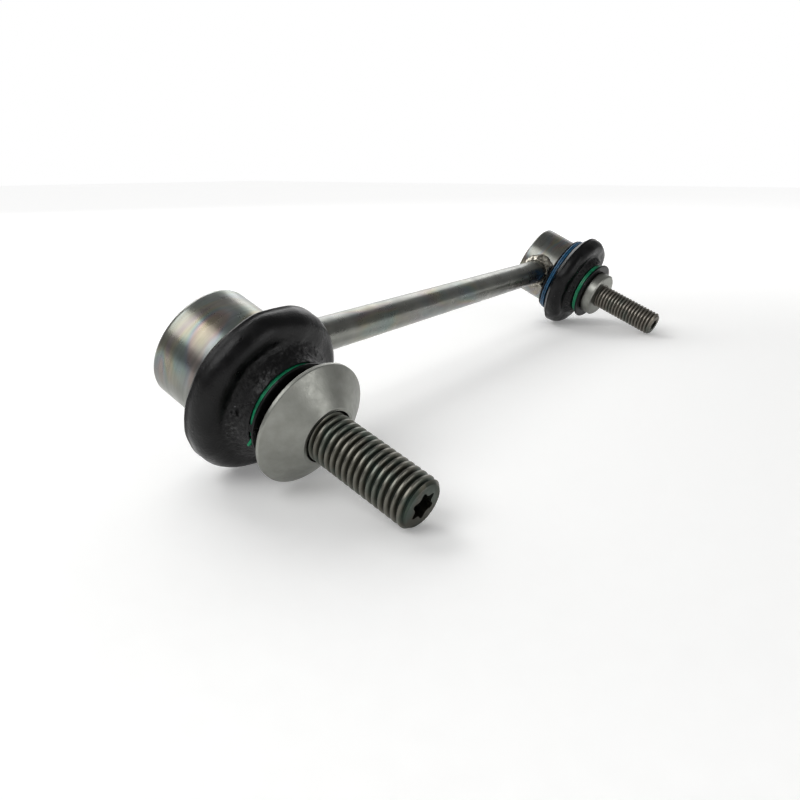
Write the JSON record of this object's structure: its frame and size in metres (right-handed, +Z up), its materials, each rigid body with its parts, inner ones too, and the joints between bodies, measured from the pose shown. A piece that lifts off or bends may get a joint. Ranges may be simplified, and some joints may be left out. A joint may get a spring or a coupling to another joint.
{
  "type": "stabilizer link",
  "caption": "Straight steel drop link for an anti-roll bar: a rod between tilted ball joints with rubber boots, threaded ball studs, a cone flange at one end and a plain collar at the other.",
  "frame": {"origin": "centre of the bounding box's base, on the table that the link lies on", "axes": "+X along the rod from the M12 joint towards the M10 joint, +Z up, studs pointing towards -Y and down"},
  "size_m": [0.2498, 0.0756, 0.0422],
  "materials": {
    "plated_steel": "satin",
    "weld_metal": "rough",
    "bare_steel": "satin",
    "phosphated_steel": "satin",
    "cover_steel": "satin",
    "boot_rubber": "matt",
    "blue_clip": "satin",
    "green_clip": "satin",
    "seat_plastic": "matt"
  },
  "bodies": {
    "link": {"link_rod": "plated_steel", "m12_cup": "plated_steel", "m12_cover_plate": "cover_steel", "m12_closing_ring": "bare_steel", "m12_boot": "boot_rubber", "m12_cup_clip": "blue_clip", "m12_weld": "weld_metal", "m10_cup": "plated_steel", "m10_cover_plate": "cover_steel", "m10_closing_ring": "bare_steel", "m10_boot": "boot_rubber", "m10_cup_clip": "blue_clip", "m10_weld": "weld_metal"},
    "m12_swing_direction": {"m12_ball_seat": "seat_plastic"},
    "m12_boot_neck": {"m12_neck_clip": "green_clip"},
    "m12_stud": {"m12_ball_stud": "phosphated_steel", "m12_cone_flange": "bare_steel"},
    "m10_swing_direction": {"m10_ball_seat": "seat_plastic"},
    "m10_boot_neck": {"m10_neck_clip": "green_clip"},
    "m10_stud": {"m10_ball_stud": "phosphated_steel", "m10_collar": "bare_steel"}
  },
  "joints": [
    {"name": "m12_swing_direction", "type": "hinge", "parent": "link", "child": "m12_swing_direction", "pos_m": [-0.10343, 0.01824, 0.0227], "axis": [0, -0.9063, -0.4226], "continuous": true},
    {"name": "m12_swing", "type": "hinge", "parent": "m12_swing_direction", "child": "m12_boot_neck", "pos_m": [-0.10343, 0.01824, 0.0227], "axis": [-0.7071, 0.2988, -0.6409], "range_deg": [-32.4, 11.6], "deforming": ["m12_boot"]},
    {"name": "m12_stud_turn", "type": "hinge", "parent": "m12_boot_neck", "child": "m12_stud", "pos_m": [-0.10343, 0.01824, 0.0227], "axis": [-0.1276, -0.9454, -0.3], "continuous": true},
    {"name": "m10_swing_direction", "type": "hinge", "parent": "link", "child": "m10_swing_direction", "pos_m": [0.10457, 0.01824, 0.0227], "axis": [0, -0.9063, -0.4226], "continuous": true},
    {"name": "m10_swing", "type": "hinge", "parent": "m10_swing_direction", "child": "m10_boot_neck", "pos_m": [0.10457, 0.01824, 0.0227], "axis": [-0.454, 0.3766, -0.8075], "range_deg": [-30.3, 13.7], "deforming": ["m10_boot"]},
    {"name": "m10_stud_turn", "type": "hinge", "parent": "m10_boot_neck", "child": "m10_stud", "pos_m": [0.10457, 0.01824, 0.0227], "axis": [-0.1286, -0.9245, -0.3588], "continuous": true}
  ]
}
